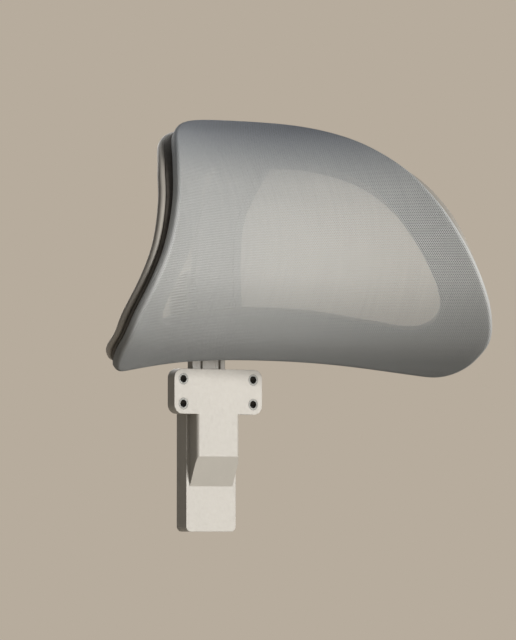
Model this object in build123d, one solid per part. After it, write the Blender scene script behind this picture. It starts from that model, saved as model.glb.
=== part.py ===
from build123d import *
import os
import math

# Chair headrest attachment. Millimetres, +Z up, -Y is the sitter's side, +X is the
# viewer's right when the headrest is seen from the front. The origin is the centre of
# the bracket's mounting face, which bears on the rear of the chair-back's top bar.

os.makedirs("parts", exist_ok=True)

# ---- driving dimensions ------------------------------------------------------------
Z_H = 55.0              # height of the headrest's bottom corners above the origin
Y_REF = 16.5            # depth of the plane that the head surface is measured from
BOW_K = 0.0025          # wings come forward by BOW_K * x^2
# height above the bottom corners, forwardness of the middle of the head surface
PROFILE = [(-16, 24), (-8, 38), (0, 50), (6, 58), (13, 66), (20, 74), (35, 85), (49.5, 94),
           (64, 101), (79, 105.7), (94, 107.2), (109, 106), (124, 102.2), (139, 95),
           (151, 87), (162, 76.5), (170, 67), (176, 58.5), (181, 50), (187, 39), (196, 21),
           (204, 4)]
# right half of the head outline seen from the front: x, height above the bottom corners
OUTLINE = [(0, 9.0), (35, 8.4), (70, 6.2), (105, 2.2), (130, -1.2), (142, -1.6), (151.5, 3.0),
           (156.0, 12), (156.8, 22), (154.4, 35), (148.9, 49.5), (142.3, 64), (135.3, 79),
           (128.6, 94), (122, 109), (115.3, 124), (108, 139), (101.3, 151), (93, 162),
           (83, 171.5), (68, 179.5), (48, 184.6), (24, 186.6), (0, 187)]
# how far the rear frame's rim stands outside the outline at each of its points
RIM_FLARE = [0.0, 0.0, 0.0, 0.0, 0.0, -0.2, -0.7, -1.1, -1.3, -1.4, -1.3, -0.7, 0.4, 2.1, 4.2, 6.0, 7.3, 7.9, 7.6, 6.1, 3.9,
             2.1, 0.7, 0.0]
# right half of the window in the rings
WINDOW = [(0, 42.5), (40, 40.5), (70, 36.5), (96, 32.2), (111, 31.5), (118.6, 37.5), (119.4, 47),
          (114.5, 61), (105.5, 79), (97.5, 95), (90, 111), (84, 122.5), (77.5, 133), (67, 144),
          (52, 153), (34, 158), (0, 160)]

# layers behind the head surface, measured square to it
FABRIC_T = 0.9          # knitted mesh
CARRIER = (1.2, 6.6)    # carrier ring
SPLINE = (6.8, 10.2)    # edge strip in the groove
REAR = (10.4, 15.4)     # rear frame
FOOT = (15.5, 19.0)     # bridge's feet on the rear frame
SPLINE_BAND = (2.6, 6.6)  # edge strip's inset from the outline

TRAVEL = 40.0           # height adjustment
NOTCHES = 6             # detent positions, pitch 8
HINGE_Y, HINGE_Z = 18.5, 105.0
EYE_R, EYE_HALF = 8.5, 10.5
PIN_R = 4.0
EAR_IN, EAR_T = 11.6, 2.5

HOUSING_HALF, HOUSING_Y = 22.0, (9.5, 20.0)
HOUSING_Z = (-59.0, 60.0)
FLANGE_HALF, FLANGE_T, FLANGE_Z = 39.0, 9.6, (27.0, 60.0)
STEM_HALF, STEM_Y, STEM_BOTTOM = 14.5, (12.6, 18.8), -54.0
CHANNEL_HALF, CHANNEL_Y, CHANNEL_BOTTOM = 16.1, 11.5, -55.5
COVER_Y = (20.05, 23.0)
STOP_Z, STOP_R = 50.0, 2.5
BOLT_X, BOLT_Z, BOLT_R, SLEEVE_R = 31.0, (34.5, 52.5), 2.75, 4.2
BRIDGE_HALF = 20.0


# ---- helpers -----------------------------------------------------------------------
def bx(x0, x1, y0, y1, z0, z1):
    return Pos((x0 + x1) / 2, (y0 + y1) / 2, (z0 + z1) / 2) * Box(x1 - x0, y1 - y0, z1 - z0)


def cyl(start, end, r):
    a, b = Vector(*start), Vector(*end)
    d = b - a
    return Solid.make_cylinder(r, d.length, Plane(origin=a, z_dir=d.normalized()))


def profile(z):
    # natural cubic interpolation of PROFILE
    return SPL(z)


def natural_spline(points):
    xs = [p[0] for p in points]
    ys = [p[1] for p in points]
    n = len(xs)
    h = [xs[i + 1] - xs[i] for i in range(n - 1)]
    al = [0.0] + [3 * ((ys[i + 1] - ys[i]) / h[i] - (ys[i] - ys[i - 1]) / h[i - 1]) for i in range(1, n - 1)]
    l, mu, z = [1.0] * n, [0.0] * n, [0.0] * n
    for i in range(1, n - 1):
        l[i] = 2 * (xs[i + 1] - xs[i - 1]) - h[i - 1] * mu[i - 1]
        mu[i] = h[i] / l[i]
        z[i] = (al[i] - h[i - 1] * z[i - 1]) / l[i]
    c, b, d = [0.0] * n, [0.0] * n, [0.0] * n
    for j in range(n - 2, -1, -1):
        c[j] = z[j] - mu[j] * c[j + 1]
        b[j] = (ys[j + 1] - ys[j]) / h[j] - h[j] * (c[j + 1] + 2 * c[j]) / 3
        d[j] = (c[j + 1] - c[j]) / (3 * h[j])

    def f(x):
        i = 0
        while i < n - 2 and x > xs[i + 1]:
            i += 1
        t = x - xs[i]
        return ys[i] + b[i] * t + c[i] * t * t + d[i] * t ** 3

    return f


SPL = natural_spline(PROFILE)


def head_y(x, zh):
    return Y_REF - profile(zh) - BOW_K * x * x


def head_normal(x, zh):
    # unit normal that points to the rear
    e = 0.5
    fz = (head_y(x, zh + e) - head_y(x, zh - e)) / (2 * e)
    fx = -2 * BOW_K * x
    v = Vector(-fx, 1, -fz)
    return v.normalized()


def surface(t):
    # head surface, moved back so that the layer is t thick square to it
    rows = []
    for i in range(28):
        zh = -15 + 216 * i / 27
        rows.append([Vector(x, head_y(x, zh) + t / head_normal(x, zh).Y, Z_H + zh) for x in [-180 + 360 * k / 16 for k in range(17)]])
    return Face.make_surface_from_array_of_points(rows, tol=0.01, min_deg=3, max_deg=3)


def behind(t):
    return Solid.extrude(surface(t), Vector(0, 240, 0))


def layer(block, t0, t1):
    # the part of the block between two depths behind the head surface
    return one((block & behind(t0)) - behind(t1))


def one(shape):
    return shape.solids().sort_by(SortBy.VOLUME)[-1]


def closed(half):
    # mirror a right half into a closed loop, anticlockwise in x, z
    return half + [(-x, z) for x, z in reversed(half[1:-1])]


def inset(points, d):
    out = []
    n = len(points)
    for i in range(n):
        di = d[i] if isinstance(d, list) else d
        (x0, z0), (x1, z1), (x2, z2) = points[i - 1], points[i], points[(i + 1) % n]
        a, b = math.hypot(x1 - x0, z1 - z0), math.hypot(x2 - x1, z2 - z1)
        tx = (x1 - x0) / a + (x2 - x1) / b
        tz = (z1 - z0) / a + (z2 - z1) / b
        m = math.hypot(tx, tz)
        out.append((x1 - tz / m * di, z1 + tx / m * di))
    return out


def shifted(points, t):
    # the loop's place on a layer t behind the head surface, when the edge is square to the surface
    out = []
    for x, z in points:
        n = head_normal(x, z)
        out.append((x + n.X * t, z + n.Z * t))
    return out


def prism(points):
    edge = Edge.make_spline([Vector(x, -260, Z_H + z) for x, z in points], periodic=True)
    return Solid.extrude(Face(Wire([edge])), Vector(0, 420, 0))


def profile_x(points, x0, x1):
    # closed polygon of y, z, extruded along X
    wire = Wire.make_polygon([Vector(x0, y, z) for y, z in points], close=True)
    return Solid.extrude(Face(wire), Vector(x1 - x0, 0, 0))


def profile_y(points, y0, y1):
    wire = Wire.make_polygon([Vector(x, y0, z) for x, z in points], close=True)
    return Solid.extrude(Face(wire), Vector(0, y1 - y0, 0))


def screw(at, out, shank_r, shank_len, head_r, head_h, hex_af=0.0):
    # at is under the head, out points out of the head
    o = Vector(*at) if not isinstance(at, Vector) else at
    n = Vector(*out) if not isinstance(out, Vector) else out
    n = n.normalized()
    body = Solid.make_cylinder(shank_r, shank_len, Plane(origin=o - n * shank_len, z_dir=n))
    head = Solid.make_cylinder(head_r, head_h, Plane(origin=o, z_dir=n))
    head = fillet(head.edges().sort_by(lambda e: (e.center() - o).dot(n))[-1:], head_h * 0.45)
    s = body + head
    if hex_af:
        tip = Plane(origin=o + n * (head_h * 0.35), z_dir=n)
        s = s - extrude(tip * RegularPolygon(hex_af / 2, 6, major_radius=False), head_h * 2)
    return s.solids()[0]


def put(name, *shapes):
    solids = []
    for s in shapes:
        solids += list(s.solids())
    export_step(solids[0] if len(solids) == 1 else Compound(children=solids), "parts/" + name + ".step")


# ---- head: mesh, carrier ring, edge strip, rear frame --------------------------------
outline = closed(OUTLINE)
window = closed(WINDOW)
window_prism = prism(shifted(window, 4.0))

mesh_fabric = layer(prism(outline), 0.0, FABRIC_T)
carrier = layer(prism(shifted(inset(outline, 1.5), 4.0)), *CARRIER) - window_prism
strip = layer(prism(shifted(inset(outline, SPLINE_BAND[0]), 8.5)), *SPLINE) - prism(shifted(inset(outline, SPLINE_BAND[1]), 8.5))
rim = [0.4 - f for f in RIM_FLARE]
rear = layer(prism(shifted(inset(outline, rim + rim[-2:0:-1]), 13.0)), *REAR)
rear = rear + layer(prism(shifted(inset(outline, SPLINE_BAND[1] + 0.2), 8.5)), CARRIER[1] + 0.1, REAR[0] + 0.5)
rear = rear - prism(shifted(inset(window, -1.5), 11.0))

# ten self-tapping screws join the rear frame to the carrier ring, along the ring
FRAME_SCREWS = [(-118, 20), (118, 20), (-132, 62), (132, 62), (-112, 106), (112, 106),
                (-78, 158), (78, 158), (-62, 24), (62, 24)]
frame_screws = []
for x, zh in FRAME_SCREWS:
    n = head_normal(x, zh)
    on = Vector(x, head_y(x, zh), Z_H + zh) + n * REAR[1]
    seat = on - n * 2.4
    frame_screws.append(screw(seat, n, 1.5, 8.0, 3.2, 2.2, 2.0))
    rear = rear - Solid.make_cylinder(3.5, 12, Plane(origin=seat, z_dir=n))
    shank = Solid.make_cylinder(1.55, 9.2, Plane(origin=seat - n * 8.8, z_dir=n))
    rear = rear - shank
    carrier = carrier - shank

# ---- bridge: bowed strap behind the window ---------------------------------------------
PATH = [(-58, 25), (-42, 24.5), (-27, 26.5), (-13.5, 31), (-4, 38.5), (0.9, 48), (2.5, 60), (2.5, 98), (-1, 113),
        (-11.5, 129), (-25.5, 143.5), (-39.5, 157), (-54.5, 172)]


def thick_path(points, t):
    spline = Edge.make_spline([Vector(0, y, z + Z_H) for y, z in points])
    left, right = [], []
    count = 48
    for i in range(count + 1):
        p = spline.position_at(i / count)
        d = spline.tangent_at(i / count)
        nrm = Vector(0, -d.Z, d.Y).normalized()
        left.append(p + nrm * t / 2)
        right.append(p - nrm * t / 2)
    return left, right


def strap(t, half, points=PATH):
    a, b = thick_path(points, t)
    wire = Wire([Edge.make_spline(a), Edge.make_line(a[-1], b[-1]), Edge.make_spline(list(reversed(b))), Edge.make_line(b[0], a[0])])
    return Solid.extrude(Face(wire).moved(Location((-half, 0, 0))), Vector(2 * half, 0, 0))


bridge = strap(6.0, BRIDGE_HALF)
# channel on the front, to keep the moulding's walls even
bridge = bridge - strap(3.0, 14.0, [(y - 2.6, z) for y, z in PATH])
for z0, z1 in ((21, 41), (150, 170)):
    foot = layer(bx(-31, 31, -120, 60, Z_H + z0, Z_H + z1), *FOOT)
    bridge = bridge + foot
bridge = bridge - Solid.extrude(surface(FOOT[0]), Vector(0, -160, 0))
bridge = bridge.solids().sort_by(SortBy.VOLUME)[-1]

bridge_screws = []
for x in (-25.6, 25.6):
    for zh in (21.5, 173):
        n = head_normal(x, zh)
        on = Vector(x, head_y(x, zh), Z_H + zh) + n * FOOT[1]
        bridge_screws.append(screw(on + n * 0.02, n, 1.75, 6.2, 3.6, 2.4, 2.2))
        hole = Solid.make_cylinder(1.8, 14, Plane(origin=on - n * 6.6, z_dir=n))
        bridge = bridge - hole
        rear = rear - hole

# ---- hinge --------------------------------------------------------------------------
H = (HINGE_Y, HINGE_Z)
PLATE = (5.6, 8.1)      # bracket's base plate in Y, on the rear of the bridge
plate = bx(-18, 18, PLATE[0], PLATE[1], 98, 131)
ears = []
for s in (-1, 1):
    x0, x1 = (EAR_IN, EAR_IN + EAR_T) if s > 0 else (-EAR_IN - EAR_T, -EAR_IN)
    ear = profile_x([(PLATE[0], 98), (13.5, 96.2), (HINGE_Y, 95.6), (HINGE_Y + 6, 98.2), (HINGE_Y + 9, HINGE_Z - 1),
                     (HINGE_Y + 8.4, HINGE_Z + 4), (HINGE_Y + 4, HINGE_Z + 8.6), (HINGE_Y - 2, 118), (PLATE[0], 127)], x0, x1)
    ears.append(ear)
hinge_bracket = plate + ears[0] + ears[1]
bridge = bridge - bx(-18.2, 18.2, 5.55, 40, 95, 131.2)
hinge_bracket = hinge_bracket - cyl((-30, *H), (30, *H), PIN_R + 0.03)
hinge_bracket_screws = []
for x in (-6.5, 6.5):
    for z in (118.0, 125.8):
        hinge_bracket_screws.append(screw((x, PLATE[1] + 0.02, z), (0, 1, 0), 1.7, 6.6, 3.1, 2.0, 2.0))
        hole = cyl((x, 0.3, z), (x, 12, z), 1.75)
        hinge_bracket = hinge_bracket - hole
        bridge = bridge - hole
bridge = bridge.solids().sort_by(SortBy.VOLUME)[-1]

pivot_pin = cyl((-17.2, *H), (-EAR_IN - EAR_T - 0.05, *H), 6.6)
pivot_pin = fillet(pivot_pin.edges().sort_by(Axis.X)[:1], 1.0) + cyl((-15.0, *H), (20.4, *H), PIN_R)
pivot_pin = pivot_pin - extrude(Plane(origin=(-15.4, *H), z_dir=(-1, 0, 0)) * RegularPolygon(2.5, 6, major_radius=False), 5)
nut_hex = extrude(Plane(origin=(16.05, *H), z_dir=(1, 0, 0)) * RegularPolygon(6.4, 6, major_radius=False), 4.2)
pivot_nut = nut_hex - cyl((10, *H), (30, *H), PIN_R + 0.02)


def ring(x0, x1, r_out, r_in):
    return cyl((x0, *H), (x1, *H), r_out) - cyl((x0 - 1, *H), (x1 + 1, *H), r_in)


friction_washers = [ring(EYE_HALF + 0.06, EAR_IN - 0.04, 8.0, PIN_R + 0.04), ring(-EAR_IN + 0.04, -EYE_HALF - 0.06, 8.0, PIN_R + 0.04)]


def cone_washer(x0, h, t):
    # one disc spring, its inner rim h further along +X
    pts = [(x0, 7.0), (x0 + t, 7.0), (x0 + h + t, PIN_R + 0.15), (x0 + h, PIN_R + 0.15)]
    wire = Wire.make_polygon([Vector(x, H[0] + r, H[1]) for x, r in pts], close=True)
    return Solid.revolve(Face(wire), 360, Axis((0, H[0], H[1]), (1, 0, 0)))


spring_washers = [cone_washer(14.15, 0.45, 0.5), cone_washer(15.45, -0.40, 0.5)]
pivot_bush = ring(-EYE_HALF, EYE_HALF, 5.6, PIN_R + 0.05)

# shroud over the hinge: two cheeks, a top and a rear wall, open below for the stem
def smooth_x(curve, corners, x0, x1):
    # closed outline in y, z: a smooth curve, then straight lines through the corners back to its start
    pts = [Vector(x0, y, z) for y, z in curve]
    tail = [pts[-1]] + [Vector(x0, y, z) for y, z in corners] + [pts[0]]
    wire = Wire([Edge.make_spline(pts)] + [Edge.make_line(tail[i], tail[i + 1]) for i in range(len(tail) - 1)])
    return Solid.extrude(Face(wire), Vector(x1 - x0, 0, 0))


outer = smooth_x([(8.2, 94.6), (19.5, 92.5), (26.4, 94.6), (30.6, 100.4), (31.5, 108), (29.2, 117), (22.5, 125.6), (13.5, 130.9), (8.2, 132)], [], -22.4, 22.4)
inner = smooth_x([(28.4, 96), (29.6, 103), (29.3, 110), (27.0, 117), (21.2, 124.0), (12.9, 129.0), (5.5, 130.2)], [(5.5, 88), (28.4, 88)], -20.6, 20.6)
try:
    outer = fillet(outer.faces().sort_by(Axis.X)[0].edges().sort_by(Axis.Y)[-1:] + outer.faces().sort_by(Axis.X)[-1].edges().sort_by(Axis.Y)[-1:], 1.4)
except Exception:
    pass
hinge_cover = outer - inner - bx(-20.6, 20.6, 0, 46, 80, 100)
hinge_cover = hinge_cover.solids().sort_by(SortBy.VOLUME)[-1]

# ---- stem ---------------------------------------------------------------------------
stem = profile_y([(-STEM_HALF, STEM_BOTTOM), (STEM_HALF, STEM_BOTTOM), (STEM_HALF, 73), (EYE_HALF, 82), (EYE_HALF, HINGE_Z),
                  (-EYE_HALF, HINGE_Z), (-EYE_HALF, 82), (-STEM_HALF, 73)], STEM_Y[0], STEM_Y[1])
stem = stem + cyl((-EYE_HALF, *H), (EYE_HALF, *H), EYE_R)
stem = stem + profile_x([(STEM_Y[1] - 1, 84), (STEM_Y[1], 84), (HINGE_Y + EYE_R - 0.3, HINGE_Z - 1.5), (HINGE_Y, HINGE_Z)], -EYE_HALF, EYE_HALF)
stem = stem - cyl((-20, *H), (20, *H), 5.62)
slot_w = STOP_R + 0.3
stem = stem - bx(-slot_w, slot_w, 0, 40, STOP_Z - TRAVEL, STOP_Z)
for z in (STOP_Z - TRAVEL, STOP_Z):
    stem = stem - cyl((0, 0, z), (0, 40, z), slot_w)
for i in range(NOTCHES):
    z = -8.0 * i
    stem = stem - profile_x([(STEM_Y[1] + 1, z + 3.9), (STEM_Y[1] - 1.3, z + 0.8), (STEM_Y[1] - 1.3, z - 0.8), (STEM_Y[1] + 1, z - 3.9)], -8, 8)
for s in (-1, 1):
    stem = stem - bx(min(s * 5.5, s * 10.5), max(s * 5.5, s * 10.5), STEM_Y[0] - 1, STEM_Y[0] + 1.6, -48, 68)
stem = stem.solids().sort_by(SortBy.VOLUME)[-1]

# ---- bracket ------------------------------------------------------------------------
housing = bx(-HOUSING_HALF, HOUSING_HALF, *HOUSING_Y, *HOUSING_Z)
housing = fillet(housing.edges().filter_by(Axis.Y), 4)
flange = bx(-FLANGE_HALF, FLANGE_HALF, 0, FLANGE_T, *FLANGE_Z)
flange = fillet(flange.edges().filter_by(Axis.Y), 7)
flange = fillet(flange.faces().sort_by(Axis.Y)[-1].edges(), 1.2)
housing = housing + flange
for s in (-1, 1):
    for z in (28.6, 42.3, 56.0):
        wire = Wire.make_polygon([Vector(s * 21.5, FLANGE_T - 1.5, z), Vector(s * 36, FLANGE_T - 1.5, z), Vector(s * 21.5, 17.5, z)], close=True)
        housing = housing + Solid.extrude(Face(wire), Vector(0, 0, 2.4))
# tongue that bears on the bar below the bolts and tapers into the hanging part of the body
tongue = profile_x([(0, 30), (0, -4), (9.6, -26), (9.6, 30)], -19, 19)
tongue = fillet(tongue.edges().filter_by(Axis.Z).sort_by(Axis.Y)[:2], 2.5)
housing = housing + tongue
housing = housing - bx(-CHANNEL_HALF, CHANNEL_HALF, CHANNEL_Y, 40, CHANNEL_BOTTOM, 90)
for s in (-1, 1):
    for z in BOLT_Z:
        housing = housing - cyl((s * BOLT_X, -5, z), (s * BOLT_X, 30, z), SLEEVE_R)
COVER_SCREWS = [(x, z) for x in (-19.0, 19.0) for z in (-50.0, 2.0, 54.0)]
for x, z in COVER_SCREWS:
    housing = housing - cyl((x, 11.5, z), (x, 24, z), 1.12)
housing = housing - cyl((0, 6.5, STOP_Z), (0, 14, STOP_Z), STOP_R + 0.03)
housing = housing.solids().sort_by(SortBy.VOLUME)[-1]

bolt_sleeves = [cyl((s * BOLT_X, 0.0, z), (s * BOLT_X, FLANGE_T, z), SLEEVE_R - 0.02) - cyl((s * BOLT_X, -1, z), (s * BOLT_X, 30, z), BOLT_R)
                for s in (-1, 1) for z in BOLT_Z]

liners = []
for s in (-1, 1):
    a = bx(*sorted((s * 11.8, s * (CHANNEL_HALF - 0.05))), CHANNEL_Y + 0.05, HOUSING_Y[1] - 0.05, CHANNEL_BOTTOM + 0.3, 59.6)
    b = bx(*sorted((s * 8, s * (STEM_HALF + 0.1))), STEM_Y[0] - 0.1, STEM_Y[1] + 0.1, -80, 80)
    liners.append(a - b)

cover = bx(-HOUSING_HALF, HOUSING_HALF, *COVER_Y, *HOUSING_Z)
cover = fillet(cover.edges().filter_by(Axis.Y), 4)
cover = fillet(cover.faces().sort_by(Axis.Y)[-1].edges(), 1.4)
cover = cover - bx(-6.5, 6.5, 18, 21.65, -14, 29)
cover = cover - cyl((0, 10, STOP_Z), (0, 30, STOP_Z), STOP_R + 0.05) - cyl((0, 21.3, STOP_Z), (0, 30, STOP_Z), 4.3)
cover_screws = []
for x, z in COVER_SCREWS:
    cover = cover - cyl((x, 10, z), (x, 30, z), 1.3) - cyl((x, 21.5, z), (x, 30, z), 2.4)
    cover_screws.append(screw((x, 21.52, z), (0, 1, 0), 1.1, 9.8, 2.2, 1.4, 1.5))
stop_screw = screw((0, 21.32, STOP_Z), (0, 1, 0), STOP_R, 14.6, 4.0, 1.6, 2.6)

# leaf spring with a nose that drops into the stem's notches
SPRING_X = 5.5
detent_spring = profile_x([(21.15, 27.5), (21.15, 11), (20.45, 7.2), (19.15, 3.0), (17.75, 0.5), (17.75, -0.5), (19.15, -3.0), (20.35, -8.5), (20.45, -12),
                           (20.9, -12), (20.8, -8.3), (19.65, -2.8), (18.35, -0.25), (18.35, 0.25), (19.65, 2.8), (20.9, 7.0), (21.6, 11.1), (21.6, 27.5)], -SPRING_X, SPRING_X)
spring_rivets = []
for z in (16.0, 24.0):
    rivet = cyl((0, 21.1, z), (0, 22.55, z), 1.1) + fillet(cyl((0, 20.1, z), (0, 21.1, z), 1.9).edges().sort_by(Axis.Y)[:1], 0.7)
    spring_rivets.append(rivet)
    detent_spring = detent_spring - cyl((0, 10, z), (0, 30, z), 1.15)
    cover = cover - cyl((0, 15, z), (0, 22.6, z), 1.12)

put("mesh_fabric", mesh_fabric)
put("mesh_carrier_ring", carrier)
put("edge_spline", strip)
put("rear_frame", rear)
put("frame_screws", *frame_screws)
put("support_bridge", bridge)
put("bridge_screws", *bridge_screws)
put("hinge_bracket", hinge_bracket)
put("hinge_bracket_screws", *hinge_bracket_screws)
put("hinge_cover", hinge_cover)
put("pivot_pin", pivot_pin)
put("pivot_nut", pivot_nut)
put("friction_washers", *friction_washers)
put("spring_washers", *spring_washers)
put("pivot_bush", pivot_bush)
put("stem", stem)
put("guide_housing", housing)
put("bolt_sleeves", *bolt_sleeves)
put("guide_liner_left", liners[0])
put("guide_liner_right", liners[1])
put("housing_back_cover", cover)
put("cover_screws", *cover_screws)
put("stop_screw", stop_screw)
put("detent_spring", detent_spring)
put("spring_rivets", *spring_rivets)
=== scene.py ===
import math

import bmesh
import bpy
import numpy as np
from mathutils import Matrix, Vector


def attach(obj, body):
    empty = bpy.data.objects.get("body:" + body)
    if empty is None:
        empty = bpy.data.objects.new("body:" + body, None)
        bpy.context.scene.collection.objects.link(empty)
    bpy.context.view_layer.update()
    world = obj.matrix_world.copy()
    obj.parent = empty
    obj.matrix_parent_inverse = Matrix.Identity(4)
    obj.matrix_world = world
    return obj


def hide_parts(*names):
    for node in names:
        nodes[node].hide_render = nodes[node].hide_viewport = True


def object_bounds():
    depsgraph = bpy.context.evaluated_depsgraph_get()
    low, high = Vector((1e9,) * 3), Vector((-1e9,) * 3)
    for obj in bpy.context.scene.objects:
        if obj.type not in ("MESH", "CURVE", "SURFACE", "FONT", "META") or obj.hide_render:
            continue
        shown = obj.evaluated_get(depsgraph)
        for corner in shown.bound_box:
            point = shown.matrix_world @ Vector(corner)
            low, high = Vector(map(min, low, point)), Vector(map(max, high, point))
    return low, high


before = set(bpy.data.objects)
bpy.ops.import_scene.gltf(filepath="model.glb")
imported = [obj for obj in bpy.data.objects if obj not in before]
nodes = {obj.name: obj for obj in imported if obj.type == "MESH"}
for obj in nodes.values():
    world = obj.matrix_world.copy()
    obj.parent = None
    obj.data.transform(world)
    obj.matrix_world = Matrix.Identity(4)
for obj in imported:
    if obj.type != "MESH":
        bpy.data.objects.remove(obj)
cad_lo, cad_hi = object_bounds()

# ---------------------------------------------------------------------------------------
# the head surface: convex from top to bottom, concave across (metres)
# ---------------------------------------------------------------------------------------
MM = 0.001
Z_H, Y_REF, BOW_K = 55.0, 16.5, 0.0025
PROFILE = [(-16, 24), (-8, 38), (0, 50), (6, 58), (13, 66), (20, 74), (35, 85), (49.5, 94),
           (64, 101), (79, 105.7), (94, 107.2), (109, 106), (124, 102.2), (139, 95),
           (151, 87), (162, 76.5), (170, 67), (176, 58.5), (181, 50), (187, 39), (196, 21),
           (204, 4)]
OUTLINE = [(0, 9.0), (35, 8.4), (70, 6.2), (105, 2.2), (130, -1.2), (142, -1.6), (151.5, 3.0),
           (156.0, 12), (156.8, 22), (154.4, 35), (148.9, 49.5), (142.3, 64), (135.3, 79),
           (128.6, 94), (122, 109), (115.3, 124), (108, 139), (101.3, 151), (93, 162),
           (83, 171.5), (68, 179.5), (48, 184.6), (24, 186.6), (0, 187)]
WINDOW = [(0, 42.5), (40, 40.5), (70, 36.5), (96, 32.2), (111, 31.5), (118.6, 37.5), (119.4, 47),
          (114.5, 61), (105.5, 79), (97.5, 95), (90, 111), (84, 122.5), (77.5, 133), (67, 144),
          (52, 153), (34, 158), (0, 160)]


def cubic(xs, ys):
    xs, ys = np.array(xs, float), np.array(ys, float)
    n = len(xs)
    h = np.diff(xs)
    a = np.zeros((n, n))
    b = np.zeros(n)
    a[0, 0] = a[-1, -1] = 1
    for i in range(1, n - 1):
        a[i, i - 1], a[i, i], a[i, i + 1] = h[i - 1], 2 * (h[i - 1] + h[i]), h[i]
        b[i] = 6 * ((ys[i + 1] - ys[i]) / h[i] - (ys[i] - ys[i - 1]) / h[i - 1])
    m = np.linalg.solve(a, b)

    def f(x):
        x = np.asarray(x, float)
        i = np.clip(np.searchsorted(xs, x) - 1, 0, n - 2)
        t0, t1 = xs[i + 1] - x, x - xs[i]
        hi = h[i]
        return (m[i] * t0 ** 3 + m[i + 1] * t1 ** 3) / (6 * hi) + (ys[i] / hi - m[i] * hi / 6) * t0 + (ys[i + 1] / hi - m[i + 1] * hi / 6) * t1

    return f


F0 = cubic([p[0] for p in PROFILE], [p[1] for p in PROFILE])


def surf(q):
    """q: (..., 2) in mm, x and height above the bottom corners -> points on the head surface, mm"""
    x, z = q[..., 0], q[..., 1]
    return np.stack([x, Y_REF - F0(z) - BOW_K * x * x, z + Z_H], -1)


def normal(q):
    """unit normal to the rear"""
    x, z = q[..., 0], q[..., 1]
    e = 0.4
    fz = (F0(z + e) - F0(z - e)) / (2 * e)
    n = np.stack([2 * BOW_K * x, np.ones_like(x), fz], -1)
    return n / np.linalg.norm(n, axis=-1, keepdims=True)


def closed_curve(half):
    """periodic cubic spline through the mirrored half; returns f(t) with t 0..1 round the loop"""
    p = np.array(half + [(-x, z) for x, z in reversed(half[1:-1])], float)
    n = len(p)
    d = np.linalg.norm(np.roll(p, -1, 0) - p, axis=1)
    t = np.concatenate([[0], np.cumsum(d)])
    a = np.zeros((n, n))
    rhs = np.zeros((n, 2))
    for i in range(n):
        hp, hn = d[i - 1], d[i]
        a[i, (i - 1) % n] += hp
        a[i, i] += 2 * (hp + hn)
        a[i, (i + 1) % n] += hn
        rhs[i] = 6 * ((p[(i + 1) % n] - p[i]) / hn - (p[i] - p[i - 1]) / hp)
    m = np.linalg.solve(a, rhs)

    def at(s):
        s = np.mod(s, t[-1])
        i = np.clip(np.searchsorted(t, s, side="right") - 1, 0, n - 1)
        j = (i + 1) % n
        h = d[i][:, None]
        u, v = (t[i + 1] - s)[:, None], (s - t[i])[:, None]
        return (m[i] * u ** 3 + m[j] * v ** 3) / (6 * h) + (p[i] / h - m[i] * h / 6) * u + (p[j] / h - m[j] * h / 6) * v

    fine_s = np.linspace(0, t[-1], 8001)
    fine = at(fine_s)
    arc = np.concatenate([[0], np.cumsum(np.linalg.norm(np.diff(fine, axis=0), axis=1))])
    return at, fine_s, arc


def loop(half, marks, n):
    """n points round the loop. marks are points of the half that sit at fixed fractions of it."""
    at, fs, arc = closed_curve(half)
    fine = at(fs)
    half_n = len(fs) // 2
    keys_u, keys_a = [0.0], [0.0]
    for u, mp in marks:
        i = int(np.argmin(np.linalg.norm(fine[:half_n + 1] - np.array(mp), axis=1)))
        keys_u.append(u)
        keys_a.append(arc[i])
    keys_u.append(0.5)
    keys_a.append(arc[half_n])
    keys_u += [1 - u for u in reversed(keys_u[:-1])]
    keys_a += [arc[-1] - a for a in reversed(keys_a[:-1])]
    u = np.arange(n) / n
    a = np.interp(u, keys_u, keys_a)
    # soften the knots of the mapping so the cross lines flow
    for _ in range(int(n / 12)):
        d = np.diff(np.concatenate([a, [a[0] + arc[-1]]]))
        d = (np.roll(d, 1) + d * 2 + np.roll(d, -1)) / 4
        a = np.concatenate([[0], np.cumsum(d)[:-1]])
    s = np.interp(a, arc, fs)
    return at(s)


N = 384
O = loop(OUTLINE, [(0.19, (152.5, 4.5)), (0.37, (83, 171.5))], N)
W = loop(WINDOW, [(0.19, (117, 34.5)), (0.37, (67, 144))], N)


def inward(c):
    t = np.roll(c, -1, 0) - np.roll(c, 1, 0)
    t /= np.linalg.norm(t, axis=1, keepdims=True)
    return np.stack([-t[:, 1], t[:, 0]], 1)


O_IN, W_IN = inward(O), inward(W)


def stretch_factor(q, d):
    """length on the surface of one unit along d in the front view"""
    e = 0.5
    return np.linalg.norm(surf(q + d * e) - surf(q - d * e), axis=1) / (2 * e)


GO, GW = stretch_factor(O + O_IN * 3, O_IN), stretch_factor(W, W_IN)


def from_edge(d):
    """loop d mm inside the outline, measured on the surface"""
    return O + O_IN * (d / GO)[:, None]


ANG = np.linspace(0, 1, N, endpoint=False)


def bump_at(u0, width):
    """smooth bump round the loop at fraction u0 and at its mirror image"""
    w = np.zeros(N)
    for c in (u0, 1 - u0):
        g = np.abs((ANG - c + 0.5) % 1 - 0.5) / width
        w += np.where(g < 1, 0.5 + 0.5 * np.cos(np.pi * np.clip(g, 0, 1)), 0)
    return w


def flare(h):
    """the rear rim stands out beyond the mesh at the top corners, and stays in at the lower sides"""
    t = min(1.0, max(0.0, (h - 6.5) / 5.0))
    t = t * t * (3 - 2 * t)
    return (FLARE_TOP * bump_at(0.355, 0.15) - FLARE_SIDE * bump_at(0.245, 0.09)) * t


FLARE_TOP, FLARE_SIDE = 8.0, 2.6


def from_window(d):
    """loop d mm outside the window"""
    return W - W_IN * (d / GW)[:, None]


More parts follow.
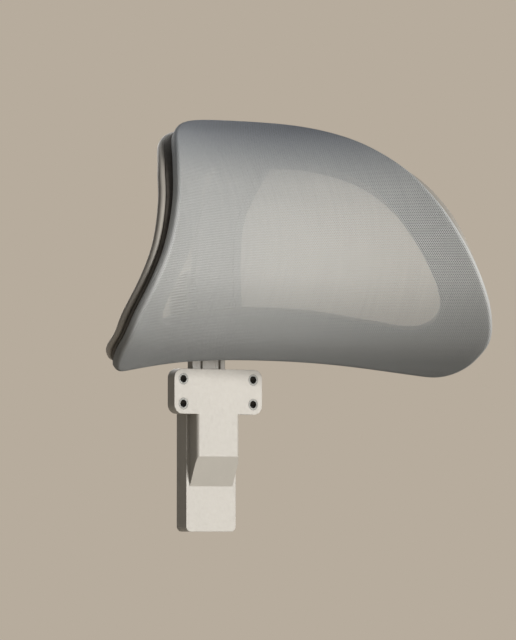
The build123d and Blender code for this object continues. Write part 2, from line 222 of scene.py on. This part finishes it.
def place(q, h):
    """a loop moved to the rear onto the layer h mm behind the head surface, square to it"""
    n = normal(q)
    q = q + n[:, [0, 2]] * h
    p = surf(q)
    p[:, 1] += np.broadcast_to(h, p[:, 1:2].shape)[:, 0] / normal(q)[:, 1] if np.ndim(h) else h / normal(q)[:, 1]
    return p * MM


def grid_mesh(name, rows, wrap_v, smooth=True, flip=False, attr=None):
    """rows: list of (N, 3) loops. wrap_v joins the last to the first."""
    m, n = len(rows), len(rows[0])
    verts = np.concatenate(rows)
    faces = []
    for j in range(m if wrap_v else m - 1):
        a, b = j * n, ((j + 1) % m) * n
        for i in range(n):
            k = (i + 1) % n
            f = (a + i, a + k, b + k, b + i)
            faces.append(f[::-1] if flip else f)
    me = bpy.data.meshes.new(name)
    me.from_pydata(verts.tolist(), [], faces)
    me.polygons.foreach_set("use_smooth", [smooth] * len(me.polygons))
    me.update()
    o = bpy.data.objects.new(name, me)
    bpy.context.scene.collection.objects.link(o)
    return o


def recalc(o):
    bm = bmesh.new()
    bm.from_mesh(o.data)
    bmesh.ops.recalc_face_normals(bm, faces=bm.faces)
    bm.to_mesh(o.data)
    bm.free()
    o.data.update()


def between(a, b, k, ease=False):
    """k loops strictly between loops a and b in the front view"""
    return [a + (b - a) * (j / (k + 1)) for j in range(1, k + 1)]


# ---------------------------------------------------------------------------------------
# materials
# ---------------------------------------------------------------------------------------
def new_mat(name):
    m = bpy.data.materials.new(name)
    m.use_nodes = True
    nt = m.node_tree
    bsdf = nt.nodes["Principled BSDF"]
    return m, nt, bsdf


def node(nt, kind, **kw):
    nd = nt.nodes.new(kind)
    for k, v in kw.items():
        if k == "inputs":
            for key, val in v.items():
                nd.inputs[key].default_value = val
        else:
            setattr(nd, k, v)
    return nd


def math_node(nt, op, a, b=None, clamp=False):
    nd = nt.nodes.new("ShaderNodeMath")
    nd.operation = op
    nd.use_clamp = clamp
    for i, v in enumerate((a, b)):
        if v is None:
            continue
        if isinstance(v, (int, float)):
            nd.inputs[i].default_value = v
        else:
            nt.links.new(v, nd.inputs[i])
    return nd.outputs[0]


def coords(nt):
    return nt.nodes.new("ShaderNodeTexCoord").outputs["Object"]


def noise(nt, vec, scale, detail=3.0, rough=0.55, stretch=None):
    if stretch is not None:
        mp = node(nt, "ShaderNodeMapping")
        mp.inputs["Scale"].default_value = stretch
        nt.links.new(vec, mp.inputs["Vector"])
        vec = mp.outputs[0]
    nd = node(nt, "ShaderNodeTexNoise", inputs={"Scale": scale, "Detail": detail, "Roughness": rough})
    nt.links.new(vec, nd.inputs["Vector"])
    return nd.outputs["Fac"]


def ramp(nt, fac, stops):
    nd = nt.nodes.new("ShaderNodeValToRGB")
    el = nd.color_ramp.elements
    while len(el) < len(stops):
        el.new(0.5)
    for e, (p, c) in zip(el, stops):
        e.position = p
        e.color = c if len(c) == 4 else (*c, 1)
    nt.links.new(fac, nd.inputs["Fac"])
    return nd.outputs["Color"]


def maprange(nt, v, a, b, c, d):
    nd = nt.nodes.new("ShaderNodeMapRange")
    nt.links.new(v, nd.inputs[0])
    for i, x in enumerate((a, b, c, d)):
        nd.inputs[i + 1].default_value = x
    return nd.outputs[0]


def mix_rgb(nt, fac, a, b, blend="MIX"):
    nd = nt.nodes.new("ShaderNodeMix")
    nd.data_type = "RGBA"
    nd.blend_type = blend
    for sock, v in ((nd.inputs[0], fac), (nd.inputs[6], a), (nd.inputs[7], b)):
        if isinstance(v, (int, float)):
            sock.default_value = v
        elif isinstance(v, tuple):
            sock.default_value = v if len(v) == 4 else (*v, 1)
        else:
            nt.links.new(v, sock)
    return nd.outputs[2]


def edge_mask(nt, radius):
    """0 on flats, up to 1 on convex and concave edges"""
    bv = node(nt, "ShaderNodeBevel", samples=4)
    bv.inputs["Radius"].default_value = radius
    geo = nt.nodes.new("ShaderNodeNewGeometry")
    dot = nt.nodes.new("ShaderNodeVectorMath")
    dot.operation = "DOT_PRODUCT"
    nt.links.new(bv.outputs[0], dot.inputs[0])
    nt.links.new(geo.outputs["Normal"], dot.inputs[1])
    return maprange(nt, dot.outputs["Value"], 0.995, 0.85, 0.0, 1.0), bv.outputs[0]


def plastic(name, color, rough=0.45, grain=0.5, spec=0.5, wear=0.25, edge=0.0006, tint=0.06, coat=0.0):
    """moulded plastic: fine spark-eroded grain, faint flow marks, rubbed edges"""
    m, nt, b = new_mat(name)
    oc = coords(nt)
    fine = noise(nt, oc, 2600, 2, 0.6)
    mid = noise(nt, oc, 420, 3, 0.55)
    flow = noise(nt, oc, 26, 4, 0.6, (1.0, 1.6, 0.5))
    mask, bn = edge_mask(nt, edge)
    dark = tuple(c * (1 - tint) for c in color)
    lite = tuple(min(1, c * (1 + tint * 0.6)) for c in color)
    col = mix_rgb(nt, maprange(nt, flow, 0.3, 0.7, 0, 1), dark, lite)
    col = mix_rgb(nt, math_node(nt, "MULTIPLY", maprange(nt, mid, 0.35, 0.75, 0.0, 1.0), 0.12), col, tuple(c * 0.86 for c in color))
    worn = math_node(nt, "MULTIPLY", mask, math_node(nt, "MULTIPLY", maprange(nt, mid, 0.3, 0.6, 0.2, 1.0), wear))
    col = mix_rgb(nt, worn, col, tuple(min(1, c * 1.14 + 0.03) for c in color))
    nt.links.new(col, b.inputs["Base Color"])
    r = math_node(nt, "ADD", maprange(nt, mid, 0.25, 0.75, rough - 0.05, rough + 0.06), math_node(nt, "MULTIPLY", worn, -0.12))
    nt.links.new(r, b.inputs["Roughness"])
    b.inputs["Specular IOR Level"].default_value = spec
    if coat:
        b.inputs["Coat Weight"].default_value = coat
        b.inputs["Coat Roughness"].default_value = 0.25
    h = math_node(nt, "ADD", math_node(nt, "MULTIPLY", fine, 0.6), math_node(nt, "MULTIPLY", mid, 0.5))
    bump = node(nt, "ShaderNodeBump", inputs={"Strength": grain, "Distance": 0.00006})
    nt.links.new(h, bump.inputs["Height"])
    nt.links.new(bn, bump.inputs["Normal"])
    nt.links.new(bump.outputs[0], b.inputs["Normal"])
    return m


def metal(name, color, rough=0.32, turned=(1.0, 1.0, 1.0), spots=0.3, edge=0.0002, aniso=0.0):
    """plated or turned steel: tool marks, fine pitting, brighter edges"""
    m, nt, b = new_mat(name)
    oc = coords(nt)
    marks = noise(nt, oc, 900, 3, 0.7, turned)
    cloud = noise(nt, oc, 160, 3, 0.6)
    mask, bn = edge_mask(nt, edge)
    col = mix_rgb(nt, maprange(nt, cloud, 0.35, 0.7, 0, spots), color, tuple(c * 0.72 for c in color))
    col = mix_rgb(nt, math_node(nt, "MULTIPLY", mask, 0.5), col, tuple(min(1, c * 1.25) for c in color))
    nt.links.new(col, b.inputs["Base Color"])
    b.inputs["Metallic"].default_value = 1.0
    if aniso:
        b.inputs["Anisotropic"].default_value = aniso
    nt.links.new(maprange(nt, marks, 0.3, 0.7, rough - 0.07, rough + 0.12), b.inputs["Roughness"])
    bump = node(nt, "ShaderNodeBump", inputs={"Strength": 0.35, "Distance": 0.00004})
    nt.links.new(marks, bump.inputs["Height"])
    nt.links.new(bn, bump.inputs["Normal"])
    nt.links.new(bump.outputs[0], b.inputs["Normal"])
    return m


def rubber(name, color, rough=0.75):
    m, nt, b = new_mat(name)
    oc = coords(nt)
    fine = noise(nt, oc, 1800, 3, 0.6)
    mid = noise(nt, oc, 120, 3, 0.6)
    col = mix_rgb(nt, maprange(nt, mid, 0.3, 0.7, 0, 1), tuple(c * 0.8 for c in color), tuple(min(1, c * 1.25) for c in color))
    nt.links.new(col, b.inputs["Base Color"])
    nt.links.new(maprange(nt, fine, 0.3, 0.7, rough - 0.08, rough + 0.08), b.inputs["Roughness"])
    b.inputs["Specular IOR Level"].default_value = 0.3
    bump = node(nt, "ShaderNodeBump", inputs={"Strength": 0.5, "Distance": 0.00008})
    nt.links.new(fine, bump.inputs["Height"])
    nt.links.new(bump.outputs[0], b.inputs["Normal"])
    return m


PX, PZ = 1.5, 1.2      # mesh pitch across and up, mm


def mesh_fabric_material(name):
    """warp-knitted monofilament mesh: staggered oval holes between vertical wales, bound by cross loops.
    The weave attribute holds the flat cloth's coordinates in millimetres."""
    m, nt, b = new_mat(name)
    at = node(nt, "ShaderNodeAttribute", attribute_name="weave")
    sep = nt.nodes.new("ShaderNodeSeparateXYZ")
    nt.links.new(at.outputs["Vector"], sep.inputs[0])
    u0, v0, solid = sep.outputs[0], sep.outputs[1], sep.outputs[2]
    oc = coords(nt)
    wob = noise(nt, oc, 90, 2, 0.5)
    u = math_node(nt, "ADD", math_node(nt, "MULTIPLY", u0, 1 / PX), math_node(nt, "MULTIPLY", math_node(nt, "SUBTRACT", wob, 0.5), 0.25))
    v = math_node(nt, "MULTIPLY", v0, 1 / PZ)
    row = math_node(nt, "FLOOR", v)
    par = math_node(nt, "MULTIPLY", math_node(nt, "MODULO", math_node(nt, "ADD", row, 1000.0), 2.0), 0.5)
    fu = math_node(nt, "SUBTRACT", math_node(nt, "FRACT", math_node(nt, "ADD", math_node(nt, "ADD", u, par), 1000.0)), 0.5)
    fv = math_node(nt, "SUBTRACT", math_node(nt, "FRACT", math_node(nt, "ADD", v, 1000.0)), 0.5)
    du = math_node(nt, "DIVIDE", fu, 0.37)
    dv = math_node(nt, "DIVIDE", fv, 0.40)
    rr = math_node(nt, "SQRT", math_node(nt, "ADD", math_node(nt, "MULTIPLY", du, du), math_node(nt, "MULTIPLY", dv, dv)))
    opacity = maprange(nt, rr, 0.80, 1.0, 0.0, 1.0)
    opacity = math_node(nt, "MAXIMUM", opacity, solid)
    # the yarn: rounded ridges round each hole, twisted fibre lines along the wales
    ridge = maprange(nt, rr, 0.85, 1.55, 0.0, 1.0)
    fibre = noise(nt, at.outputs["Vector"], 5.0, 2, 0.6, (3.2, 0.35, 1.0))
    streak = noise(nt, at.outputs["Vector"], 0.12, 3, 0.65, (2.4, 0.05, 1.0))
    cloud = noise(nt, oc, 14, 3, 0.5)
    base = mix_rgb(nt, maprange(nt, streak, 0.3, 0.7, 0.0, 1.0), MESH_DARK, MESH_LITE)
    # painted shade: the yarn darkens round the rim of each hole, where it turns down into the hole
    base = mix_rgb(nt, math_node(nt, "MULTIPLY", maprange(nt, ridge, 0.0, 0.6, 1.0, 0.0), 0.45), base, tuple(c * 0.6 for c in MESH_DARK))
    base = mix_rgb(nt, math_node(nt, "MULTIPLY", maprange(nt, cloud, 0.35, 0.7, 0, 1), 0.10), base, tuple(min(1, c * 1.12) for c in MESH_LITE))
    # painted shade: the yarn turns darker towards the bottom and towards the top, where the cloth bends away from the
    # light, and the top band carries a painted bluish skylight tint
    base = mix_rgb(nt, maprange(nt, v0, 128.0, 54.0, 0.0, 1.0), base, srgb(122, 124, 124))
    base = mix_rgb(nt, maprange(nt, v0, 196.0, 262.0, 0.0, 1.0), base, srgb(138, 143, 151))
    nt.links.new(base, b.inputs["Base Color"])
    nt.links.new(maprange(nt, fibre, 0.3, 0.7, 0.55, 0.78), b.inputs["Roughness"])
    b.inputs["Specular IOR Level"].default_value = 0.35
    b.inputs["Sheen Weight"].default_value = 0.03
    b.inputs["Sheen Roughness"].default_value = 0.45
    b.inputs["Sheen Tint"].default_value = (0.92, 0.95, 1.0, 1.0)
    nt.links.new(opacity, b.inputs["Alpha"])
    h = math_node(nt, "ADD", math_node(nt, "MULTIPLY", ridge, 0.8), math_node(nt, "MULTIPLY", fibre, 0.35))
    bump = node(nt, "ShaderNodeBump", inputs={"Strength": 0.7, "Distance": 0.00022})
    nt.links.new(h, bump.inputs["Height"])
    nt.links.new(bump.outputs[0], b.inputs["Normal"])
    return m


def srgb(r, g, b):
    def f(c):
        c /= 255
        return c / 12.92 if c <= 0.04045 else ((c + 0.055) / 1.055) ** 2.4
    return (f(r), f(g), f(b))


MESH_DARK, MESH_LITE = srgb(184, 186, 186), srgb(192, 194, 193)

M_MESH = mesh_fabric_material("knitted_mesh")
# painted shade: the carrier is the warm white plastic of the frame, coloured grey for the shade it sits in behind the
# mesh
M_CARRIER = plastic("carrier_plastic", srgb(122, 124, 124), rough=0.5, grain=0.5, wear=0.1)
M_STRIP = rubber("edge_strip_rubber", srgb(92, 87, 81))
M_WHITE = plastic("warm_white_plastic", srgb(200, 194, 184), rough=0.42, grain=0.45, wear=0.2, tint=0.04)
# painted shade: the rear frame is white plastic, given a darker grey-beige for the shade on its rim
M_FRAME = plastic("frame_plastic", srgb(160, 155, 147), rough=0.46, grain=0.6, wear=0.2, tint=0.05)
# painted shade: the support bridge is white plastic, given a darker warm grey for the shade it lies in behind the mesh
M_BRIDGE = plastic("bridge_plastic", srgb(146, 144, 139), rough=0.40, grain=0.5, wear=0.22, tint=0.05)
M_BRACKET = plastic("bracket_plastic", srgb(170, 166, 158), rough=0.46, grain=0.7, wear=0.25, tint=0.05)
M_STEM = plastic("stem_nylon", srgb(172, 167, 158), rough=0.38, grain=0.8, wear=0.3, tint=0.09)
M_LINER = plastic("liner_acetal", srgb(52, 52, 53), rough=0.36, grain=0.25, wear=0.35, tint=0.12)
M_WASHER = plastic("friction_polymer", srgb(44, 43, 42), rough=0.55, grain=0.5, wear=0.3, tint=0.12)
M_HINGE = plastic("powder_coat", srgb(196, 191, 181), rough=0.5, grain=1.0, wear=0.4, tint=0.05)
M_ZINC = metal("zinc_plated", srgb(146, 146, 142), rough=0.34, spots=0.5)
M_SLEEVE = metal("sleeve_steel", srgb(104, 104, 101), rough=0.52, spots=0.5)
M_STEEL = metal("turned_steel", srgb(200, 199, 196), rough=0.24, turned=(9, 1, 1), spots=0.2, aniso=0.4)
M_SPRING = metal("blued_spring_steel", srgb(92, 98, 112), rough=0.28, turned=(1, 1, 8), spots=0.5)
M_BRONZE = metal("sintered_bronze", srgb(172, 128, 74), rough=0.45, spots=0.7)

CAD_MATERIALS = {
    "support_bridge": M_BRIDGE, "hinge_cover": M_WHITE, "hinge_bracket": M_HINGE,
    "frame_screws": M_ZINC, "bridge_screws": M_ZINC, "hinge_bracket_screws": M_ZINC, "cover_screws": M_ZINC,
    "spring_rivets": M_ZINC, "pivot_nut": M_ZINC, "bolt_sleeves": M_SLEEVE, "pivot_pin": M_STEEL, "stop_screw": M_STEEL,
    "spring_washers": M_STEEL, "detent_spring": M_SPRING, "friction_washers": M_WASHER, "pivot_bush": M_BRONZE,
    "stem": M_STEM, "guide_housing": M_BRACKET, "housing_back_cover": M_BRACKET,
    "guide_liner_left": M_LINER, "guide_liner_right": M_LINER,
    "mesh_carrier_ring": M_CARRIER, "edge_spline": M_STRIP, "rear_frame": M_FRAME, "mesh_fabric": M_MESH,
}
for name, mat in CAD_MATERIALS.items():
    if name in nodes:
        o = nodes[name]
        o.data.materials.clear()
        o.data.materials.append(mat)

# ---------------------------------------------------------------------------------------
# the mesh: stretched over the carrier, rolled round its edge into the groove
# ---------------------------------------------------------------------------------------
R_ROLL = 3.0
T_FAB = 0.5


def fabric():
    rows, flat_v = [], []
    # inner rings, from the centre out
    centre = np.array([0.0, 92.0])
    start = from_edge(R_ROLL)
    steps = 54
    ts = np.linspace(0.02, 1.0, steps)
    q_rows = [centre + (start - centre) * t for t in ts]
    pts = [(surf(q)) * MM for q in q_rows]
    solid = [np.zeros(N) for _ in q_rows]
    # the roll: quarter turn, a short flank, then in towards the groove
    prof = []
    for k in range(1, 9):
        a = math.pi / 2 * k / 8
        prof.append((R_ROLL - R_ROLL * math.sin(a), R_ROLL - R_ROLL * math.cos(a)))
    prof += [(0.0, 4.6), (0.1, 5.4), (0.6, 6.1), (1.5, 6.5), (2.8, 6.65), (4.4, 6.7)]
    flat_extra = []
    run = 0.0
    last = (R_ROLL, 0.0)
    for d, h in prof:
        run += math.hypot(d - last[0], h - last[1])
        last = (d, h)
        pts.append(place(from_edge(d), h))
        q_rows.append(from_edge(R_ROLL - run))
        solid.append(np.full(N, min(1.0, run / 3.0)))
    # flat coordinates: arc length across and up
    zz = np.linspace(-20, 205, 900)
    arc = np.concatenate([[0], np.cumsum(np.hypot(np.diff(zz), np.diff(F0(zz))))])
    xx = np.linspace(0, 175, 700)
    arcx = np.concatenate([[0], np.cumsum(np.hypot(np.diff(xx), np.diff(BOW_K * xx * xx)))])
    o = grid_mesh("headrest_mesh", pts, False)
    me = o.data
    # close the middle
    bm = bmesh.new()
    bm.from_mesh(me)
    c = bm.verts.new(Vector(surf(centre[None])[0] * MM))
    bm.verts.ensure_lookup_table()
    first = [bm.verts[i] for i in range(N)]
    for i in range(N):
        bm.faces.new((first[(i + 1) % N], first[i], c)).smooth = True
    bmesh.ops.recalc_face_normals(bm, faces=bm.faces)
    bm.to_mesh(me)
    bm.free()
    # front must face -Y
    if sum(p.normal.y * p.area for p in me.polygons) > 0:
        me.flip_normals()
    q_all = np.concatenate(q_rows + [centre[None]])
    s_all = np.concatenate(solid + [np.zeros(1)])
    w = np.stack([np.sign(q_all[:, 0]) * np.interp(np.abs(q_all[:, 0]), xx, arcx), np.interp(q_all[:, 1], zz, arc), s_all], 1)
    at = me.attributes.new("weave", "FLOAT_VECTOR", "POINT")
    at.data.foreach_set("vector", w.astype(np.float32).ravel())
    area = sum(p.area for p in me.polygons)
    me.materials.append(M_MESH)
    sol = o.modifiers.new("thickness", "SOLIDIFY")
    sol.thickness = T_FAB * MM
    sol.offset = -1.0
    sol.use_even_offset = True
    return o, area, w


mesh_piece, mesh_area, weave = fabric()
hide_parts("mesh_fabric")
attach(mesh_piece, "head")


# ---------------------------------------------------------------------------------------
# rings: sections swept round the outline, d from the outline or the window, mm
# ---------------------------------------------------------------------------------------
def ring(name, section, material, body="head"):
    """section: list of ("o" | "w" | t, d or (d_o, d_w), h) round the section"""
    rows = []
    for kind, d, h in section:
        if kind == "o":
            q = O + O_IN * ((d - flare(h)) / GO)[:, None]
        elif kind == "w":
            q = from_window(d)
        else:
            q = from_edge(d[0]) * (1 - kind) + from_window(d[1]) * kind
        rows.append(place(q, h))
    o = grid_mesh(name, rows, True)
    recalc(o)
    o.data.materials.append(material)
    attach(o, body)
    return o


def span(d_o, d_w, h0, h1, k, back=False, crown=0.0):
    ts = [j / (k + 1) for j in range(1, k + 1)]
    out = [(t, (d_o, d_w), h0 + (h1 - h0) * t + crown * math.sin(math.pi * t)) for t in ts]
    return out[::-1] if back else out


def corner(kind, d0, h0, r, a0, a1, k):
    """arc of radius r about (d0, h0), angles in degrees: 0 is away from the window side, 90 to the rear"""
    out = []
    for j in range(k + 1):
        a = math.radians(a0 + (a1 - a0) * j / k)
        out.append((kind, d0 - r * math.cos(a), h0 + r * math.sin(a)))
    return out


# carrier ring: 0.9 to 6.6 mm behind the head surface, full outer edge, soft window edge
carrier_section = (
    corner("o", 4.0, 4.0, 3.1, -90, 0, 6)
    + [("o", 0.95, 4.8), ("o", 1.2, 5.5), ("o", 1.9, 5.9), ("o", 3.0, 6.1)]
    + span(3.0, 2.4, 6.1, 6.5, 10)
    + [("w", 2.0, 6.5), ("w", 1.0, 6.2), ("w", 0.3, 5.6), ("w", 0.0, 4.9), ("w", 0.0, 3.2),
       ("w", 0.3, 2.1), ("w", 1.0, 1.4), ("w", 2.0, 1.0)]
    + span(4.0, 2.0, 0.9, 1.0, 12, True)
)
carrier = ring("carrier_ring", carrier_section, M_CARRIER)
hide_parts("mesh_carrier_ring")

# edge strip: dark, at the bottom of the groove, with a small round bead
strip_section = [("o", 4.4, 6.9), ("o", 3.0, 7.0), ("o", 2.2, 7.5), ("o", 1.9, 8.5), ("o", 2.2, 9.5),
                 ("o", 3.0, 10.0), ("o", 4.4, 10.15), ("o", 6.3, 10.15), ("o", 6.6, 8.5), ("o", 6.3, 6.9)]
strip = ring("edge_strip", strip_section, M_STRIP)
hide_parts("edge_spline")

# rear frame: rounded rim, rolled window edge; its rear follows the CAD layer
rear_section = (
    [("o", 6.9, 8.0), ("o", 6.9, 10.2)]
    + [("o", 3.2, 10.4), ("o", 1.9, 10.55), ("o", 0.95, 11.1), ("o", 0.45, 12.0), ("o", 0.35, 13.0),
       ("o", 0.6, 14.0), ("o", 1.3, 14.85), ("o", 2.6, 15.3), ("o", 4.4, 15.38), ("o", 6.4, 15.38)]
    + span(6.4, 4.6, 15.38, 15.38, 12)
    + [("w", 4.6, 15.38), ("w", 3.2, 15.3), ("w", 2.0, 14.8), ("w", 1.5, 13.8), ("w", 1.4, 12.4), ("w", 1.4, 9.6), ("w", 1.8, 8.2),
       ("w", 2.8, 7.2), ("w", 4.2, 6.9)]
    + span(6.9, 4.2, 6.8, 6.9, 10, True)
)
rear = ring("rear_frame_shell", rear_section, M_FRAME)

# pockets for the ring's screws
FRAME_SCREWS = [(-118, 20), (118, 20), (-132, 62), (132, 62), (-112, 106), (112, 106),
                (-78, 158), (78, 158), (-62, 24), (62, 24)]
cut = bmesh.new()
for x, z in FRAME_SCREWS:
    q = np.array([[float(x), float(z)]])
    n = Vector(normal(q)[0])
    seat = Vector(surf(q)[0]) * MM + n * (15.4 - 2.45) * MM
    rot = n.to_track_quat("Z", "Y").to_matrix().to_4x4()
    bmesh.ops.create_cone(cut, cap_ends=True, cap_tris=False, segments=40, radius1=3.45 * MM, radius2=3.45 * MM, depth=9 * MM,
                          matrix=Matrix.Translation(seat + n * 4.5 * MM) @ rot)
cut_me = bpy.data.meshes.new("pockets")
cut.to_mesh(cut_me)
cut.free()
cutter = bpy.data.objects.new("pockets", cut_me)
bpy.context.scene.collection.objects.link(cutter)
mod = rear.modifiers.new("pockets", "BOOLEAN")
mod.operation = "DIFFERENCE"
mod.solver = "EXACT"
mod.object = cutter
bpy.context.view_layer.update()
done = bpy.data.meshes.new_from_object(rear.evaluated_get(bpy.context.evaluated_depsgraph_get()))
rear.modifiers.clear()
rear.data = done
bpy.data.objects.remove(cutter)
done.set_sharp_from_angle(angle=math.radians(38))
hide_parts("rear_frame")

# ---------------------------------------------------------------------------------------
# stage, light and camera
# ---------------------------------------------------------------------------------------
scene = bpy.context.scene
scene.view_settings.view_transform = "Standard"
scene.view_settings.look = "None"
scene.view_settings.exposure = 0.0

lo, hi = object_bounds()
FLOOR_Z = cad_lo.z - 0.16
fm = bmesh.new()
bmesh.ops.create_grid(fm, x_segments=24, y_segments=24, size=6.0)
floor_me = bpy.data.meshes.new("floor")
fm.to_mesh(floor_me)
fm.free()
floor = bpy.data.objects.new("floor", floor_me)
floor.location = (0, 0, FLOOR_Z)
scene.collection.objects.link(floor)
m, nt, b = new_mat("pale_floor")
fn = noise(nt, coords(nt), 3.0, 4, 0.6)
nt.links.new(mix_rgb(nt, maprange(nt, fn, 0.3, 0.7, 0, 1), srgb(214, 204, 190), srgb(220, 211, 198)), b.inputs["Base Color"])
b.inputs["Roughness"].default_value = 0.7
# the floor runs out into the backdrop
dist = nt.nodes.new("ShaderNodeVectorMath")
dist.operation = "LENGTH"
nt.links.new(coords(nt), dist.inputs[0])
glow = nt.nodes.new("ShaderNodeEmission")
glow.inputs["Color"].default_value = (*srgb(183, 172, 157), 1)
sweep = nt.nodes.new("ShaderNodeMixShader")
far = nt.nodes.new("ShaderNodeMapRange")
far.interpolation_type = "SMOOTHSTEP"
nt.links.new(dist.outputs["Value"], far.inputs[0])
far.inputs[1].default_value, far.inputs[2].default_value = 0.5, 2.6
nt.links.new(far.outputs[0], sweep.inputs[0])
nt.links.new(b.outputs[0], sweep.inputs[1])
nt.links.new(glow.outputs[0], sweep.inputs[2])
nt.links.new(sweep.outputs[0], nt.nodes["Material Output"].inputs[0])
floor.data.materials.append(m)

world = bpy.data.worlds.new("studio")
scene.world = world
world.use_nodes = True
wn = world.node_tree
bg = wn.nodes["Background"]
WALL = srgb(183, 172, 157)
bg.inputs["Color"].default_value = (*WALL, 1)
bg.inputs["Strength"].default_value = 1.0
# the wall is seen as it is, and lights the object a little less
lp = wn.nodes.new("ShaderNodeLightPath")
mx = wn.nodes.new("ShaderNodeMixShader")
bg2 = wn.nodes.new("ShaderNodeBackground")
bg2.inputs["Color"].default_value = (0.52, 0.50, 0.47, 1)
bg2.inputs["Strength"].default_value = 0.15
wn.links.new(lp.outputs["Is Camera Ray"], mx.inputs[0])
wn.links.new(bg2.outputs[0], mx.inputs[1])
wn.links.new(bg.outputs[0], mx.inputs[2])
wn.links.new(mx.outputs[0], wn.nodes["World Output"].inputs[0])

CENTRE = Vector((0, -0.045, 0.12))


def area_light(name, direction, dist, size, power, color=(1, 1, 1)):
    d = Vector(direction).normalized()
    li = bpy.data.lights.new(name, "AREA")
    li.shape = "RECTANGLE"
    li.size, li.size_y = size
    li.energy = power
    li.color = color
    o = bpy.data.objects.new(name, li)
    o.location = CENTRE + d * dist
    o.rotation_mode = "QUATERNION"
    o.rotation_quaternion = d.to_track_quat("Z", "Y")
    scene.collection.objects.link(o)
    return o


area_light("key", (0.55, -1.0, 0.06), 2.6, (1.2, 0.9), 80, (1.0, 0.985, 0.96))
area_light("fill", (-1.0, -0.75, 0.2), 3.0, (2.2, 2.0), 7, (0.90, 0.95, 1.0))
area_light("top", (0.1, 0.15, 1.0), 2.8, (2.4, 2.4), 5, (0.90, 0.95, 1.0))
area_light("rear", (0.35, 1.0, 0.45), 3.2, (2.4, 2.0), 46, (1.0, 0.98, 0.95))

# camera: 35 degrees to the sitter's right, a little below the head, far away with a long lens
AZ, EL, DIST = math.radians(-35.0), math.radians(-2.2), 4.0
back = Vector((math.sin(AZ) * math.cos(EL), -math.cos(AZ) * math.cos(EL), math.sin(EL)))
cam_data = bpy.data.cameras.new("camera")
cam = bpy.data.objects.new("camera", cam_data)
scene.collection.objects.link(cam)
cam_data.sensor_width = 36.0
cam_data.lens = 310.0
cam_data.clip_start, cam_data.clip_end = 0.1, 60.0
TARGET = Vector((0.0, -0.0505, 0.0945))
cam.location = TARGET + back * DIST
cam.rotation_mode = "QUATERNION"
cam.rotation_quaternion = back.to_track_quat("Z", "Y")
scene.camera = cam
